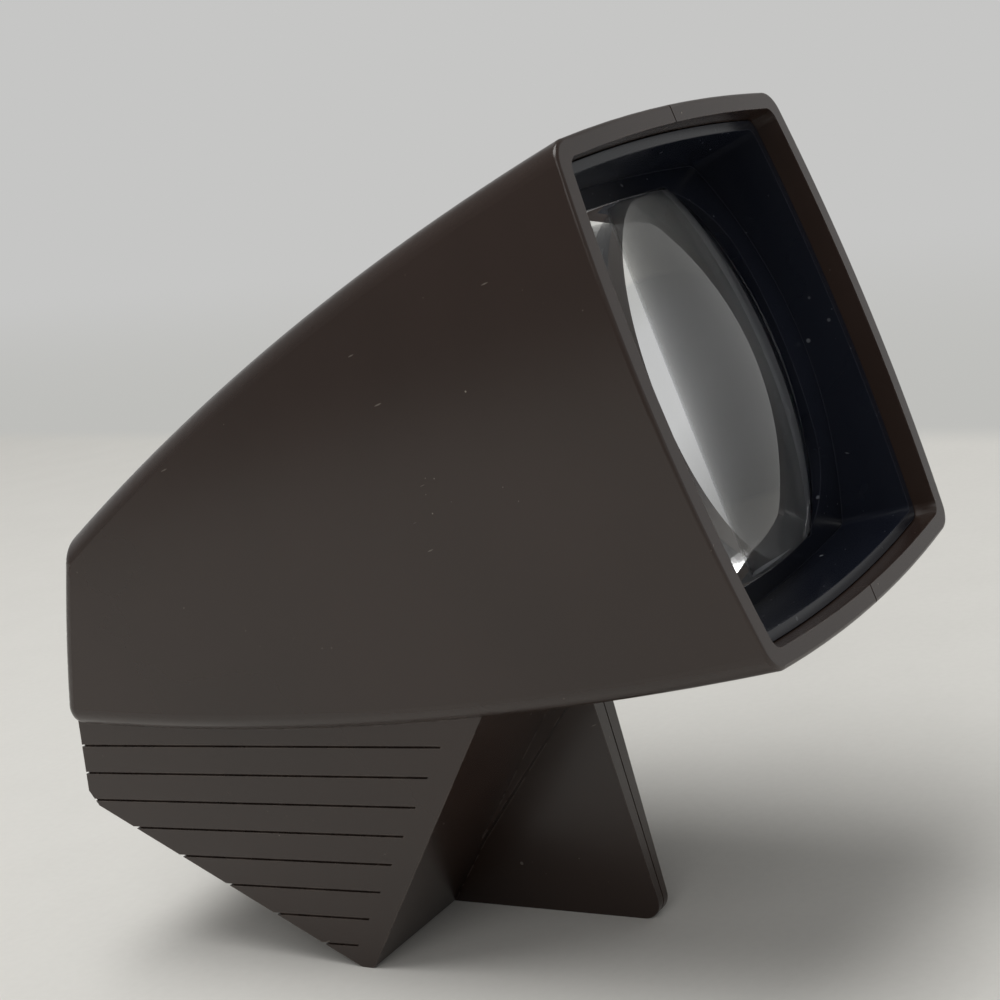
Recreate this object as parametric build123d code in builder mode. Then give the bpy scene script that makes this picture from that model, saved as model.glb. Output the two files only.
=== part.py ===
"""Battery-lit slide viewer: two half shells, thick squared lens, slide gate, lamp and battery grip.

Frame: +Z up, the lens looks towards -Y, X runs across. The origin is on the table, in the middle
of the viewer's length and width. Lengths are in millimetres.
"""
from build123d import *
from math import atan2, cos, hypot, radians, sin, sqrt, tan
import os

os.makedirs("parts", exist_ok=True)

# ---------------------------------------------------------------- driving dimensions
BODY_WIDTH = 62.0           # across the four long corners
WALL = 2.2                  # shell wall
AXIS_TILT = 16.5            # the lens looks up by this angle, degrees
AXIS_HEIGHT = 60.3          # from the origin to the optical axis, square to it
RIM_STATION = 66.3          # rim plane, measured along the optical axis
RIM_TOP = 31.4              # rim corners above and below the axis
RIM_BOTTOM = -31.4
REAR_TOP = (-26.3, 12.9)    # (along, above) the axis
REAR_BOTTOM = (-39.9, -10.3)
TOP_BULGE = 3.0             # rise of the long top curve over its chord
BOTTOM_BULGE = 3.3          # drop of the long bottom curve under its chord
SIDE_CROWN_RADIUS = 155.0   # every face of the body is slightly barrelled
TOP_CROWN_RADIUS = 370.0
BOTTOM_CROWN_RADIUS = 283.0
CORNER_RADIUS = 3.4         # rounding of the four long corners
LEAST_CORNER = 0.8          # and of the same corners inside, where they are tighter
REAR_ROUNDING = 1.8         # rounding round the rear face
RIM_ROUNDING = 0.45

GRIP_TOP_HALF_WIDTH = 29.5  # grip block at the body's underside
GRIP_FOOT_HALF_WIDTH = 22.7 # grip block at the table
GRIP_TOP_HEIGHT = 39.5      # where the front face of the grip meets the body
GRIP_TOP_FRONT = 15.1
GRIP_FOOT_FRONT = -13.3     # the narrow foot that the viewer rests on
GRIP_FOOT_REAR = -15.3
UNDERSIDE_ANGLE = 31.0      # the battery door's face against the table, degrees
GRIP_REAR_STEP = 0.6        # the grip's rear face lies inside the body's by this
GRIP_HEEL_CHAMFER = 1.6
FOOT_ROUNDING = 0.9

GROOVE_COUNT = 8
GROOVE_PITCH = 4.4
GROOVE_TOP = 34.75          # height of the first groove under the middle of the viewer
GROOVE_RISE = 2.3           # the grooves climb towards the front, degrees
GROOVE_WIDTH = 0.32
GROOVE_DEPTH = 0.28
GROOVE_BORDER = 3.3         # plain strip left along the front edge of the grip

FIN_FOOT_FRONT = 20.5       # centre fin, on the table
FIN_TOP_FRONT = 14.0        # and at FIN_TOP_HEIGHT
FIN_TOP_HEIGHT = 40.0
FIN_FOOT_HALF = 1.3         # half thickness on the table
FIN_TOP_HALF = 2.8
FIN_TOE_RADIUS = 2.6
FIN_ROOT_HEIGHT = 10.0      # a wedge thickens the fin's root from here up
FIN_ROOT_DEPTH = 3.6        # the wedge's reach at the body
FIN_ROOT_STEP = 1.2         # and its extra half thickness
FIN_BURIED = 1.2            # the fin's reach behind the grip's front face

SEAM_WIDTH = 0.24           # fine line where the halves meet
SEAM_DEPTH = 0.35
FIT = 0.15                  # clearance of an insert in its seat
RUNNING = 0.3               # clearance beside a moving piece

LENS_WIDTH = 48.0
LENS_HEIGHT = 49.5
LENS_CORNER = 5.0
LENS_FRONT_STATION = 61.0   # front vertex along the axis
LENS_THICKNESS = 19.5
LENS_FRONT_RADIUS = 62.0
LENS_BACK_RADIUS = 130.0

HOLDER_FRONT_STATION = 63.2
HOLDER_REAR_STATION = 39.5
HOLDER_WALL = 1.2
BEZEL_STATION = 57.2        # bezel face on the axis
BEZEL_RADIUS = 90.0         # the bezel face is curved up and down
BEZEL_CORNER = 12.0         # its opening hides the lens corners
RETAINER_LENGTH = 2.4
RETAINER_RIM = 3.2
RETAINER_CORNER = 3.0
TUNNEL_REAR_STATION = 26.0  # pale lining between the gate and the lens
TUNNEL_WALL = 1.2
TUNNEL_FOOT = -17.5         # its side walls stop here, above the front screw boss

SLIDE_SIZE = 50.8           # two-inch slide mount
SLIDE_CLEARANCE = 0.4       # at each side of the mount
SLIDE_STATION = 15.0
SLOT_GAP = 5.8              # free thickness for the mount and for a finger's push
SLOT_END_GAP = 0.5          # more room at the ends of the slot in the shells
SLOT_DEPTH = 24.0           # the slot is cut from above the body down by this
SLIDE_REST = -20.0          # lower edge of a mount, against the axis
GATE_PLATE = 1.5
GATE_LIP = 3.0              # how far the gate covers the mount's edges
GATE_MARGIN = 1.0           # the gate stands past the diffuser and the mount by this
GATE_NOTCH = 3.2            # room in the front plate for the lever's arm
WINDOW_WIDTH = 38.0
WINDOW_HEIGHT = 34.0
WINDOW_CORNER = 1.5
WINDOW_CENTRE = 3.0         # above the axis

DIFFUSER_WIDTH = 46.0
DIFFUSER_HEIGHT = 37.0
DIFFUSER_THICKNESS = 2.0
REFLECTOR_REAR_STATION = -14.0
REFLECTOR_REAR_SIZE = 15.0
REFLECTOR_SHELL = 1.2
REFLECTOR_CORNER = 3.0

SOCKET_REAR_STATION = -25.0
SOCKET_LENGTH = 9.0
SOCKET_RADIUS = 7.0
SOCKET_FLOOR = 1.4
LAMP_CAP_RADIUS = 4.7       # screw cap of a torch bulb
LAMP_CAP_LENGTH = 11.0
LAMP_TIP_RADIUS = 1.8       # contact at the cap's rear end
LAMP_TIP_LENGTH = 0.6
LAMP_THREADS = 4
LAMP_THREAD_PITCH = 2.0
LAMP_THREAD_DEPTH = 0.35
LAMP_GLASS_RADIUS = 5.6
LAMP_NECK_RADIUS = 3.9
LAMP_NECK_LENGTH = 3.5
LAMP_SOCKET_FIT = 0.1

CELL_RADIUS = 7.25          # AA cell
CELL_LENGTH = 48.6          # without its button
CELL_BUTTON_RADIUS = 2.7
CELL_BUTTON_LENGTH = 1.3
CELL_CHAMFER = 0.5
CELL_GAP = 0.8              # between the two cells
CELL_HEIGHT = 32.0          # cell axis above the table
CELL_FRONT = 2.9            # back of the front contacts
CONTACT_THICKNESS = 0.5
CONTACT_WIDTH = 11.0
CONTACT_TOUCH = 0.02        # left between a contact and what presses on it
REAR_CONTACT_HEIGHT = 6.5
CONTACT_LOW = 28.2          # front contact plates, from here up to
CONTACT_HIGH = 37.2
CONTACT_TAB = 3.6           # the right plate's tab reaches forward under the lever
CELL_SPRING_RADIUS = 2.4
CELL_SPRING_WIRE = 0.22
CELL_SPRING_TURNS = 2

DOOR_HALF_WIDTH = 18.0      # battery door in the slanted underside
DOOR_THICKNESS = 1.9
DOOR_TONGUE = 1.4           # tongue at each side of the door
DOOR_TONGUE_THICKNESS = 0.9
DOOR_FRONT_GAP = 7.0        # from the foot to the door, along the underside
DOOR_CLEARANCE = 0.2
DOOR_RAIL_WIDTH = 3.2
DOOR_RAIL_HEIGHT = 2.0
DOOR_RAIL_LEAD = 2.0        # the rails start this far ahead of the door
DOOR_RAIL_LENGTH = 36.0
DOOR_PULL_DEPTH = 0.5       # three cross grooves for the thumb
DOOR_PULL_WIDTH = 1.2
DOOR_PULL_PITCH = 3.0
DOOR_PULL_PLACE = 28.0      # the first one, from the door's front end

LEVER_PIN_RADIUS = 1.0
LEVER_PIN_PLACE = (11.2, 41.6)   # (forward, up)
LEVER_HUB_RADIUS = 1.8
LEVER_HUB_GAP = 4.0              # half of the gap in the hub that shows the spring
LEVER_REAR_STATION = 13.6
LEVER_FRONT_STATION = 24.0
LEVER_DROP = 0.3                 # arm's top under the mount's lower edge
LEVER_THICKNESS = 1.5
LEVER_HALF_WIDTH = 17.0
PIN_FIT = 0.05
EAR_THICKNESS = 2.2              # ears of the shells that hold the lever's pin
EAR_LENGTH = 6.8
EAR_HEIGHT = 5.0
EAR_SHIFT = 0.9                  # their middle is ahead of the pin
EAR_DROP = 0.2                   # and a little under it
LEVER_STRIP = 0.4                # contact strip under the arm
LEVER_STRIP_LENGTH = 6.6
LEVER_STRIP_WIDTH = 5.0
LEVER_STRIP_START = 0.2          # from the arm's rear edge
LEVER_DIMPLE = 1.2
LEVER_DIMPLE_RADIUS = 0.9
LEVER_DIMPLE_PLACE = 1.6         # from the arm's rear edge
LEVER_SPRING_WIRE = 0.22
LEVER_SPRING_RADIUS = 1.5
LEVER_SPRING_TURNS = 7
LEVER_SPRING_GAP = 0.12          # between its turns

BOSS_RADIUS = 3.6
BOSS_PLACES = ((-28.9, -5.4), (31.0, -23.2))   # along and above the axis
FOOT_BOSS = (-11.0, 10.5)                     # forward and up
SCREW_RADIUS = 1.1
SCREW_HEAD_RADIUS = 2.4
SCREW_HEAD_HEIGHT = 1.5
SCREW_CROSS_WIDTH = 0.6
SCREW_CROSS_DEPTH = 0.8
SCREW_RECESS = 2.7          # radius of the deep recess on the right side
SCREW_SEAT = 10.0           # the head sits this far right of the seam
SCREW_LENGTH = 19.0
SCREW_GRIP_FIT = 0.02
WIRE_RADIUS = 0.55          # insulated lead
LEAD_ACROSS = 18.5          # the leads run down this far from the middle
LEAD_TURN = (-22.0, 41.5)   # and turn forward here (forward, up)
LEAD_BEND = 3.0

# ---------------------------------------------------------------- planes and curves of the body
TILT = radians(AXIS_TILT)
AXIS_FOOT = (0, AXIS_HEIGHT * sin(TILT), AXIS_HEIGHT * cos(TILT))
AXIS_DIRECTION = (0, -cos(TILT), sin(TILT))
optic_plane = Plane(origin=AXIS_FOOT, x_dir=(1, 0, 0), z_dir=AXIS_DIRECTION)
optic_side = Plane(origin=AXIS_FOOT, x_dir=AXIS_DIRECTION, z_dir=(-1, 0, 0))
side_plane = Plane(origin=(0, 0, 0), x_dir=(0, -1, 0), z_dir=(-1, 0, 0))


def on_axis(along, above=0.0, across=0.0):
    """World point at a place given along, above and across the optical axis."""
    return optic_side.from_local_coords((along, above, -across))


def bulged(station, start, end, bulge):
    """Height of a shallow arc from start to end, bulge above its chord, at a station."""
    chord = hypot(end[0] - start[0], end[1] - start[1])
    radius = (chord**2 / 4 + bulge**2) / (2 * abs(bulge))
    slope = atan2(end[1] - start[1], end[0] - start[0])
    side = 1 if bulge > 0 else -1
    reach = radius - abs(bulge)
    centre_along = (start[0] + end[0]) / 2 + side * reach * sin(slope)
    centre_above = (start[1] + end[1]) / 2 - side * reach * cos(slope)
    return centre_above + side * sqrt(radius**2 - (station - centre_along) ** 2)


def body_top(station):
    return bulged(station, REAR_TOP, (RIM_STATION, RIM_TOP), TOP_BULGE)


def body_bottom(station):
    return bulged(station, REAR_BOTTOM, (RIM_STATION, RIM_BOTTOM), -BOTTOM_BULGE)


rear_rise = (REAR_TOP[0] - REAR_BOTTOM[0], REAR_TOP[1] - REAR_BOTTOM[1])
rear_out = on_axis(-rear_rise[1], rear_rise[0]) - on_axis(0, 0)
rear_plane = Plane(origin=on_axis(*REAR_BOTTOM), x_dir=(1, 0, 0), z_dir=rear_out)
rear_foot = on_axis(*REAR_BOTTOM)
rear_head = on_axis(*REAR_TOP)
REAR_LEAN = (rear_head.Y - rear_foot.Y) / (rear_head.Z - rear_foot.Z)


def rear_at(height, inset=0.0):
    """Forward place of the rear face, moved inwards by inset, at a height over the table."""
    return -(rear_foot.Y + REAR_LEAN * (height - rear_foot.Z)) + inset * hypot(1, REAR_LEAN)


def body_form(inset, last_station=RIM_STATION):
    """Closed form of the body with its skin moved inwards by inset."""
    first_station = REAR_BOTTOM[0] - 5
    steps = 5
    with BuildPart() as form:
        for step in range(steps + 1):
            station = first_station + (last_station - first_station) * step / steps
            top = body_top(station) - inset
            bottom = body_bottom(station) + inset
            half = BODY_WIDTH / 2 - inset
            middle = (top + bottom) / 2
            side_sag = (top - bottom) ** 2 / (8 * SIDE_CROWN_RADIUS)
            top_sag = half**2 / (2 * TOP_CROWN_RADIUS)
            bottom_sag = half**2 / (2 * BOTTOM_CROWN_RADIUS)
            with BuildSketch(optic_plane.offset(station)) as section:
                with BuildLine():
                    ThreePointArc((-half, bottom), (-half - side_sag, middle), (-half, top))
                    ThreePointArc((-half, top), (0, top + top_sag), (half, top))
                    ThreePointArc((half, top), (half + side_sag, middle), (half, bottom))
                    ThreePointArc((half, bottom), (0, bottom - bottom_sag), (-half, bottom))
                make_face()
                corner = max(CORNER_RADIUS - inset * 0.6, LEAST_CORNER)
                fillet(section.vertices(), radius=corner)
        loft()
        split(bisect_by=rear_plane.offset(-inset), keep=Keep.BOTTOM)
    return form.part


# ---------------------------------------------------------------- the grip block and the centre fin
UNDER = radians(UNDERSIDE_ANGLE)
grip_front_lean = (GRIP_TOP_FRONT - GRIP_FOOT_FRONT) / GRIP_TOP_HEIGHT
grip_side_lean = (GRIP_TOP_HALF_WIDTH - GRIP_FOOT_HALF_WIDTH) / GRIP_TOP_HEIGHT
GRIP_BURIED = 6.0           # how far the block runs up into the body


grip_front_plane = Plane(
    origin=(0, -GRIP_FOOT_FRONT, 0),
    x_dir=(1, 0, 0),
    z_dir=(0, -1, -grip_front_lean),
)


def grip_form(inset, raised=0.0):
    """Closed form of the grip block with its faces moved inwards by inset and its top raised."""
    top = GRIP_TOP_HEIGHT + GRIP_BURIED + raised
    front_shift = -inset * hypot(1, grip_front_lean)
    foot = inset / cos(UNDER)
    rear_inset = GRIP_REAR_STEP + inset
    heel_height = foot
    for _ in range(12):
        heel_height = foot + (GRIP_FOOT_REAR - rear_at(heel_height, rear_inset)) * tan(UNDER)
    side_top = GRIP_FOOT_HALF_WIDTH + grip_side_lean * top - inset * hypot(1, grip_side_lean)
    side_foot = GRIP_FOOT_HALF_WIDTH - inset * hypot(1, grip_side_lean)
    with BuildPart() as form:
        with BuildSketch(side_plane) as profile:
            with BuildLine():
                Polyline(
                    (GRIP_FOOT_REAR, foot),
                    (GRIP_FOOT_FRONT + grip_front_lean * foot + front_shift, foot),
                    (GRIP_FOOT_FRONT + grip_front_lean * top + front_shift, top),
                    (rear_at(top, rear_inset), top),
                    (rear_at(heel_height, rear_inset), heel_height),
                    close=True,
                )
            make_face()
            if inset == 0:
                heel_corner = profile.vertices().group_by(Axis.Y)[1]
                chamfer(heel_corner, length=GRIP_HEEL_CHAMFER)
                fillet(profile.vertices().sort_by(Axis.Y)[:2], radius=FOOT_ROUNDING)
        extrude(amount=GRIP_TOP_HALF_WIDTH * 2, both=True)
        with BuildSketch(Plane.XZ):
            with BuildLine():
                Polyline(
                    (-side_foot, 0),
                    (side_foot, 0),
                    (side_top, top),
                    (-side_top, top),
                    close=True,
                )
            make_face()
        extrude(amount=BODY_WIDTH * 2, both=True, mode=Mode.INTERSECT)
    return form.part


def grip_face(height):
    """Forward place of the grip's front face at a height over the table."""
    return GRIP_FOOT_FRONT + grip_front_lean * height


def fin_form():
    """Centre fin from the grip's front face to its toe, thinner towards the table."""
    buried = FIN_BURIED
    with BuildPart() as form:
        with BuildSketch(side_plane) as profile:
            with BuildLine():
                Polyline(
                    (grip_face(0) - buried, 0),
                    (FIN_FOOT_FRONT, 0),
                    (FIN_TOP_FRONT, FIN_TOP_HEIGHT),
                    close=True,
                )
            make_face()
            fillet(profile.vertices().sort_by(Axis.X)[-1], radius=FIN_TOE_RADIUS)
        extrude(amount=BODY_WIDTH, both=True)
        with BuildSketch(Plane.XZ):
            with BuildLine():
                Polyline(
                    (-FIN_FOOT_HALF, 0),
                    (FIN_FOOT_HALF, 0),
                    (FIN_TOP_HALF, FIN_TOP_HEIGHT),
                    (-FIN_TOP_HALF, FIN_TOP_HEIGHT),
                    close=True,
                )
            make_face()
        extrude(amount=BODY_WIDTH * 2, both=True, mode=Mode.INTERSECT)
        with BuildSketch(side_plane):
            with BuildLine():
                Polyline(
                    (grip_face(FIN_ROOT_HEIGHT) - buried, FIN_ROOT_HEIGHT),
                    (grip_face(FIN_ROOT_HEIGHT), FIN_ROOT_HEIGHT),
                    (grip_face(FIN_TOP_HEIGHT) + FIN_ROOT_DEPTH, FIN_TOP_HEIGHT),
                    (grip_face(FIN_TOP_HEIGHT) - buried, FIN_TOP_HEIGHT),
                    close=True,
                )
            make_face()
        extrude(amount=FIN_TOP_HALF + FIN_ROOT_STEP, both=True)
    return form.part


def seam_form():
    """Thin sheet between the halves, as deep as the seam line from every outer face."""
    with BuildPart() as form:
        with BuildSketch(side_plane):
            Rectangle(BODY_WIDTH * 3, BODY_WIDTH * 4)
        extrude(amount=SEAM_WIDTH / 2, both=True)
        add(body_form(SEAM_DEPTH, RIM_STATION - SEAM_DEPTH), mode=Mode.SUBTRACT)
        add(grip_form(SEAM_DEPTH), mode=Mode.SUBTRACT)
        with BuildSketch(side_plane) as fin_middle:
            with BuildLine():
                Polyline(
                    (grip_face(0) - FIN_BURIED, SEAM_DEPTH),
                    (FIN_FOOT_FRONT - SEAM_DEPTH, SEAM_DEPTH),
                    (FIN_TOP_FRONT - SEAM_DEPTH, FIN_TOP_HEIGHT),
                    close=True,
                )
            make_face()
            fillet(fin_middle.vertices().sort_by(Axis.X)[-1], radius=FIN_TOE_RADIUS)
        extrude(amount=BODY_WIDTH, both=True, mode=Mode.SUBTRACT)
    return form.part


def groove_form():
    """The thin cuts round the sides and rear of the grip, all in one."""
    rise = tan(radians(GROOVE_RISE))
    reach = BODY_WIDTH
    with BuildPart() as form:
        for number in range(GROOVE_COUNT):
            height = GROOVE_TOP - number * GROOVE_PITCH
            with BuildSketch(side_plane):
                with BuildLine():
                    Polyline(
                        (-reach, height - reach * rise),
                        (reach, height + reach * rise),
                        (reach, height + reach * rise + GROOVE_WIDTH),
                        (-reach, height - reach * rise + GROOVE_WIDTH),
                        close=True,
                    )
                make_face()
            extrude(amount=BODY_WIDTH, both=True)
        split(bisect_by=grip_front_plane.offset(-GROOVE_BORDER), keep=Keep.BOTTOM)
        add(grip_form(GROOVE_DEPTH), mode=Mode.SUBTRACT)
    return form.part


# ---------------------------------------------------------------- battery door and its seat
under_plane = Plane(
    origin=(0, -GRIP_FOOT_REAR, 0),
    x_dir=(1, 0, 0),
    z_dir=(0, -sin(UNDER), cos(UNDER)),
)
DOOR_REACH = 60.0           # past the heel, so that the door's slot is open to the rear
tongue_base = (DOOR_THICKNESS - DOOR_TONGUE_THICKNESS) * 0.85


def door_form(gap):
    """Door plate with its two side tongues, every face moved outwards by gap."""
    front = DOOR_FRONT_GAP + DOOR_CLEARANCE - gap
    plate_half = DOOR_HALF_WIDTH + gap
    tongue_half = DOOR_HALF_WIDTH + DOOR_TONGUE + gap
    with BuildPart() as form:
        with BuildSketch(under_plane.offset(-1.0)):
            with Locations((0, (front + DOOR_REACH) / 2)):
                Rectangle(plate_half * 2, DOOR_REACH - front)
        extrude(amount=1.0 + DOOR_THICKNESS + gap)
        with BuildSketch(under_plane.offset(tongue_base - gap)):
            with Locations((0, (front + DOOR_REACH) / 2)):
                Rectangle(tongue_half * 2, DOOR_REACH - front)
        extrude(amount=DOOR_TONGUE_THICKNESS + 2 * gap)
    return form.part


def rail_form():
    """Two rails over the door's tongues."""
    rail_base = tongue_base + DOOR_TONGUE_THICKNESS + DOOR_CLEARANCE
    rail_front = DOOR_FRONT_GAP - DOOR_RAIL_LEAD
    rail_rear = DOOR_FRONT_GAP + DOOR_RAIL_LENGTH
    rail_middle = DOOR_HALF_WIDTH + DOOR_CLEARANCE + DOOR_RAIL_WIDTH / 2
    with BuildPart() as form:
        with BuildSketch(under_plane.offset(rail_base)):
            with Locations((rail_middle, (rail_front + rail_rear) / 2)):
                Rectangle(DOOR_RAIL_WIDTH, rail_rear - rail_front)
            mirror(about=Plane.YZ)
        extrude(amount=DOOR_RAIL_HEIGHT)
    return form.part


# ---------------------------------------------------------------- the two half shells
ear_inner = LEVER_HALF_WIDTH + RUNNING
boss_places = [on_axis(*place) for place in BOSS_PLACES]
boss_places.append(Vector(0, -FOOT_BOSS[0], FOOT_BOSS[1]))
lever_pin_centre = Vector(0, -LEVER_PIN_PLACE[0], LEVER_PIN_PLACE[1])
pin_plane = Plane(origin=lever_pin_centre, x_dir=(0, 1, 0), z_dir=(1, 0, 0))
slot_width = SLIDE_SIZE + 2 * SLIDE_CLEARANCE + 2 * SLOT_END_GAP

with BuildPart() as body_skin:
    add(body_form(0))
    rim_face = body_skin.faces().sort_by(Axis((0, 0, 0), AXIS_DIRECTION))[-1]
    fillet(rim_face.edges(), radius=RIM_ROUNDING)
    rear_face = body_skin.faces().sort_by(Axis((0, 0, 0), tuple(rear_plane.z_dir)))[-1]
    fillet(rear_face.edges(), radius=REAR_ROUNDING)

with BuildPart() as outside:
    add(body_skin.part)
    add(grip_form(0))
    add(fin_form())

with BuildPart() as case:
    add(outside.part)
    add(body_form(WALL, RIM_STATION + 4), mode=Mode.SUBTRACT)
    add(grip_form(WALL, raised=3.0), mode=Mode.SUBTRACT)
    add(rail_form())
    for place in boss_places:
        with BuildSketch(Plane(origin=place, x_dir=(0, 1, 0), z_dir=(1, 0, 0))):
            Circle(BOSS_RADIUS)
        extrude(amount=BODY_WIDTH / 2 + 3, both=True)
    for side in (-1, 1):
        ear_middle = side * (ear_inner + EAR_THICKNESS / 2)
        ear_place = Vector(ear_middle, lever_pin_centre.Y, lever_pin_centre.Z)
        with Locations(ear_place - Vector(0, EAR_SHIFT, EAR_DROP)):
            Box(EAR_THICKNESS, EAR_LENGTH, EAR_HEIGHT)
    add(outside.part, mode=Mode.INTERSECT)
    add(door_form(DOOR_CLEARANCE), mode=Mode.SUBTRACT)
    add(groove_form(), mode=Mode.SUBTRACT)
    add(seam_form(), mode=Mode.SUBTRACT)
    with BuildSketch(optic_plane.offset(SLIDE_STATION - SLOT_GAP / 2)):
        with Locations((0, RIM_TOP + WALL - SLOT_DEPTH / 4)):
            Rectangle(slot_width, SLOT_DEPTH)
    extrude(amount=SLOT_GAP, mode=Mode.SUBTRACT)
    for place in boss_places:
        boss_plane = Plane(origin=place, x_dir=(0, 1, 0), z_dir=(1, 0, 0))
        with BuildSketch(boss_plane.offset(-SCREW_LENGTH / 2)):
            Circle(SCREW_RADIUS + SCREW_GRIP_FIT)
        extrude(amount=BODY_WIDTH, mode=Mode.SUBTRACT)
        with BuildSketch(boss_plane.offset(SCREW_SEAT)):
            Circle(SCREW_RECESS)
        extrude(amount=BODY_WIDTH, mode=Mode.SUBTRACT)
    with BuildSketch(pin_plane):
        Circle(LEVER_PIN_RADIUS + SCREW_GRIP_FIT)
    extrude(amount=ear_inner + EAR_THICKNESS, both=True, mode=Mode.SUBTRACT)

with BuildPart() as left_shell:
    add(case.part)
    split(bisect_by=Plane.YZ, keep=Keep.BOTTOM)
left_shell.part.label = "left_shell"
export_step(left_shell.part, "parts/left_shell.step")

with BuildPart() as right_shell:
    add(case.part)
    split(bisect_by=Plane.YZ, keep=Keep.TOP)
right_shell.part.label = "right_shell"
export_step(right_shell.part, "parts/right_shell.step")


with BuildPart() as case_screws:
    for place in boss_places:
        screw_plane = Plane(origin=place, x_dir=(0, 1, 0), z_dir=(1, 0, 0))
        with BuildSketch(screw_plane.offset(SCREW_SEAT - SCREW_LENGTH)):
            Circle(SCREW_RADIUS)
        extrude(amount=SCREW_LENGTH)
        with BuildSketch(screw_plane.offset(SCREW_SEAT)):
            Circle(SCREW_HEAD_RADIUS)
        extrude(amount=SCREW_HEAD_HEIGHT)
        with BuildSketch(screw_plane.offset(SCREW_SEAT + SCREW_HEAD_HEIGHT - SCREW_CROSS_DEPTH)):
            Rectangle(SCREW_HEAD_RADIUS * 1.5, SCREW_CROSS_WIDTH)
            Rectangle(SCREW_CROSS_WIDTH, SCREW_HEAD_RADIUS * 1.5)
        extrude(amount=SCREW_CROSS_DEPTH, mode=Mode.SUBTRACT)
case_screws.part.label = "case_screws"
export_step(case_screws.part, "parts/case_screws.step")

with BuildPart() as battery_door:
    add(door_form(0.0))
    add(grip_form(0), mode=Mode.INTERSECT)
    for rib in range(3):
        with BuildSketch(under_plane.offset(-0.1)):
            with Locations((0, DOOR_FRONT_GAP + DOOR_PULL_PLACE + rib * DOOR_PULL_PITCH)):
                Rectangle(DOOR_HALF_WIDTH, DOOR_PULL_WIDTH)
        extrude(amount=0.1 + DOOR_PULL_DEPTH, mode=Mode.SUBTRACT)
battery_door.part.label = "battery_door"
export_step(battery_door.part, "parts/battery_door.step")


# ---------------------------------------------------------------- lens and its holder
def lens_form(gap):
    """Thick lens cut square: two domes and a rounded square edge, grown by gap."""
    front_centre = on_axis(LENS_FRONT_STATION - LENS_FRONT_RADIUS)
    back_station = LENS_FRONT_STATION - LENS_THICKNESS
    back_centre = on_axis(back_station + LENS_BACK_RADIUS)
    with BuildPart() as form:
        with BuildSketch(optic_plane.offset(back_station - gap)):
            RectangleRounded(LENS_WIDTH + 2 * gap, LENS_HEIGHT + 2 * gap, LENS_CORNER + gap)
        extrude(amount=LENS_THICKNESS + 2 * gap)
        with Locations(front_centre):
            Sphere(LENS_FRONT_RADIUS + gap, mode=Mode.INTERSECT)
        if gap == 0:
            with Locations(back_centre):
                Sphere(LENS_BACK_RADIUS, mode=Mode.INTERSECT)
    return form.part


def slab(start, end):
    """Everything between two stations of the optical axis."""
    with BuildPart() as form:
        with BuildSketch(optic_plane.offset(start)):
            Rectangle(BODY_WIDTH * 2, BODY_WIDTH * 2)
        extrude(amount=end - start)
    return form.part


with BuildPart() as lens:
    add(lens_form(0))
lens.part.label = "lens"
export_step(lens.part, "parts/lens.step")

lens_back_station = LENS_FRONT_STATION - LENS_THICKNESS
holder_inset = WALL + FIT
bezel_centre = on_axis(BEZEL_STATION - BEZEL_RADIUS)

with BuildPart() as hood_hollow:
    add(body_form(holder_inset + HOLDER_WALL, RIM_STATION + 2))
    add(slab(HOLDER_REAR_STATION, RIM_STATION + 2), mode=Mode.INTERSECT)
    with BuildSketch(Plane(origin=bezel_centre, x_dir=(0, 1, 0), z_dir=(1, 0, 0))):
        Circle(BEZEL_RADIUS)
    extrude(amount=BODY_WIDTH, both=True, mode=Mode.SUBTRACT)

with BuildPart() as lens_holder:
    add(body_form(holder_inset))
    add(slab(HOLDER_REAR_STATION, HOLDER_FRONT_STATION), mode=Mode.INTERSECT)
    add(hood_hollow.part, mode=Mode.SUBTRACT)
    add(lens_form(FIT), mode=Mode.SUBTRACT)
    with BuildSketch(optic_plane.offset(lens_back_station)):
        RectangleRounded(LENS_WIDTH + 2 * FIT, LENS_HEIGHT + 2 * FIT, BEZEL_CORNER)
    extrude(amount=LENS_THICKNESS * 1.5, mode=Mode.SUBTRACT)
    with BuildSketch(optic_plane.offset(HOLDER_REAR_STATION)):
        RectangleRounded(LENS_WIDTH + 2 * FIT, LENS_HEIGHT + 2 * FIT, LENS_CORNER + FIT)
    extrude(amount=lens_back_station - HOLDER_REAR_STATION, mode=Mode.SUBTRACT)
lens_holder.part.label = "lens_holder"
export_step(lens_holder.part, "parts/lens_holder.step")

retainer_reach = LENS_WIDTH / 2 - RETAINER_RIM
retainer_sag = retainer_reach**2 / (2 * LENS_BACK_RADIUS)
retainer_front = lens_back_station + retainer_sag - 0.1
with BuildPart() as lens_retainer:
    with BuildSketch(optic_plane.offset(retainer_front - RETAINER_LENGTH)):
        RectangleRounded(LENS_WIDTH, LENS_HEIGHT, LENS_CORNER)
        RectangleRounded(
            LENS_WIDTH - 2 * RETAINER_RIM,
            LENS_HEIGHT - 2 * RETAINER_RIM,
            RETAINER_CORNER,
            mode=Mode.SUBTRACT,
        )
    extrude(amount=RETAINER_LENGTH)
lens_retainer.part.label = "lens_retainer"
export_step(lens_retainer.part, "parts/lens_retainer.step")

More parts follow.
